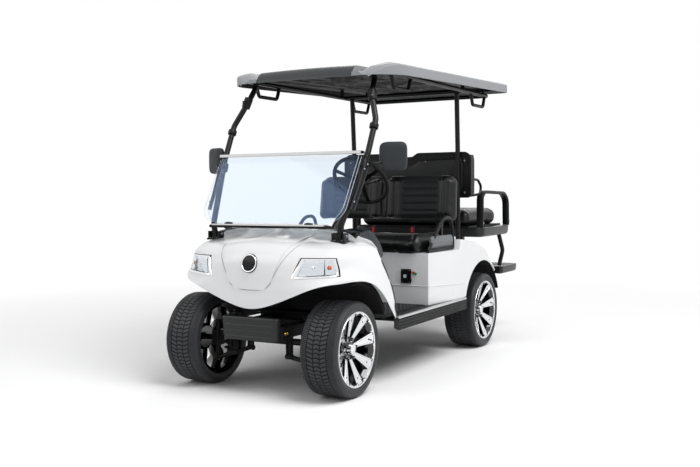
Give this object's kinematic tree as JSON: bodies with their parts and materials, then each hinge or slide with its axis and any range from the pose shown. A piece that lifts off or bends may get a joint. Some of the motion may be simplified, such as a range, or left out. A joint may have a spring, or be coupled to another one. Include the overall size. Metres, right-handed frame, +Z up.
{
  "type": "golf cart",
  "caption": "Open golf cart with a front bench, a rearward bench, a moulded canopy on struts, a folding windshield and low tyres on spoked rims.",
  "frame": {"origin": "on the ground under the middle of the bounding box", "axes": "+Z up, -Y the way it drives, +X the driver's side"},
  "size_m": [1.3054, 2.889, 1.7964],
  "materials": {
    "body_white": "gloss painted moulding",
    "frame_black": "satin powder coat",
    "seat_vinyl": "grained vinyl",
    "moulded_black": "fine moulded texture",
    "moulded_grey": "fine moulded texture",
    "floor_steel": "satin",
    "mat_rubber": "matte, patterned",
    "tyre_rubber": "matte",
    "rim_aluminium": "machined and clear coated, with black pockets",
    "clear_sheet": "clear polycarbonate",
    "rail_aluminium": "brushed",
    "lamp_lens": "clear lens over chrome",
    "lamp_red": "gloss",
    "badge_black": "gloss",
    "axle_iron": "painted",
    "rack_steel": "ground"
  },
  "bodies": {
    "chassis": {"arch_liners": "moulded_black", "badge_disc": "badge_black", "battery_pack": "moulded_black", "charge_port": "moulded_black", "chassis_frame": "frame_black", "dashboard": "moulded_black", "floor_mat": "mat_rubber", "floor_pan": "floor_steel", "footplate": "moulded_grey", "front_bumper": "moulded_black", "front_cowl": "body_white", "front_seat_back": "seat_vinyl", "front_struts": "frame_black", "front_suspension": "frame_black", "grab_loops": "frame_black", "headlights": "lamp_lens", "hip_restraints": "frame_black", "hood_panel": "body_white", "mirrors": "moulded_grey", "pedals": "frame_black", "rear_armrests": "frame_black", "rear_axle": "axle_iron", "rear_back_panel": "moulded_black", "rear_body": "body_white", "rear_deck": "moulded_grey", "rear_seat_back": "seat_vinyl", "rear_springs": "frame_black", "rear_struts": "frame_black", "rear_supports": "frame_black", "roof_canopy": "moulded_grey", "roof_frame": "frame_black", "roof_handles": "moulded_black", "seat_frame": "frame_black", "side_sills": "moulded_grey", "steering_column": "frame_black", "steering_rack_housing": "moulded_black", "tail_lights": "lamp_red", "windshield_lower": "clear_sheet", "windshield_rails": "rail_aluminium", "windshield_upper": "clear_sheet"},
    "knuckle_left": {"knuckle_left": "frame_black"},
    "knuckle_right": {"knuckle_right": "frame_black"},
    "wheel_front_left": {"tyre_front_left": "tyre_rubber", "rim_front_left": "rim_aluminium"},
    "wheel_front_right": {"tyre_front_right": "tyre_rubber", "rim_front_right": "rim_aluminium"},
    "wheel_rear_left": {"tyre_rear_left": "tyre_rubber", "rim_rear_left": "rim_aluminium"},
    "wheel_rear_right": {"tyre_rear_right": "tyre_rubber", "rim_rear_right": "rim_aluminium"},
    "rack": {"steering_rack": "rack_steel"},
    "driver_wheel": {"steering_wheel": "moulded_black"},
    "front_seat": {"front_seat_cushion": "seat_vinyl"},
    "rear_seat": {"rear_seat_cushion": "seat_vinyl", "rear_seat_plate": "moulded_black"}
  },
  "joints": [
    {"name": "steer_left", "type": "hinge", "parent": "chassis", "child": "knuckle_left", "pos_m": [0.35, -1.1995, 0.245], "axis": [0, 0, 1], "range_deg": [-25, 25]},
    {"name": "steer_right", "type": "hinge", "parent": "chassis", "child": "knuckle_right", "pos_m": [-0.35, -1.1995, 0.245], "axis": [0, 0, 1], "range_deg": [-25, 25]},
    {"name": "roll_front_left", "type": "hinge", "parent": "knuckle_left", "child": "wheel_front_left", "pos_m": [0.421, -1.1995, 0.245], "axis": [1, 0, 0], "continuous": true},
    {"name": "roll_front_right", "type": "hinge", "parent": "knuckle_right", "child": "wheel_front_right", "pos_m": [-0.421, -1.1995, 0.245], "axis": [1, 0, 0], "continuous": true},
    {"name": "roll_rear_left", "type": "hinge", "parent": "chassis", "child": "wheel_rear_left", "pos_m": [0.456, 0.5205, 0.245], "axis": [1, 0, 0], "continuous": true},
    {"name": "roll_rear_right", "type": "hinge", "parent": "chassis", "child": "wheel_rear_right", "pos_m": [-0.456, 0.5205, 0.245], "axis": [1, 0, 0], "continuous": true},
    {"name": "rack_slide", "type": "slide", "parent": "chassis", "child": "rack", "axis": [1, 0, 0], "range_m": [-0.0425, 0.0425]},
    {"name": "wheel_turn", "type": "hinge", "parent": "chassis", "child": "driver_wheel", "pos_m": [0.195, -0.5495, 1.1], "axis": [0, 0.766, 0.6428], "range_deg": [-301, 301]},
    {"name": "front_seat_lift", "type": "hinge", "parent": "chassis", "child": "front_seat", "pos_m": [0, 0.0955, 0.76], "axis": [-1, 0, 0], "range_deg": [0, 45]},
    {"name": "rear_seat_flip", "type": "hinge", "parent": "chassis", "child": "rear_seat", "pos_m": [0, 1.2055, 0.8], "axis": [-1, 0, 0], "range_deg": [0, 180]}
  ],
  "couplings": [
    {"joint": "steer_right", "follows": "steer_left", "ratio": 1},
    {"joint": "rack_slide", "follows": "steer_left", "m_per_rad": -0.09686},
    {"joint": "wheel_turn", "follows": "steer_left", "ratio": 12}
  ]
}
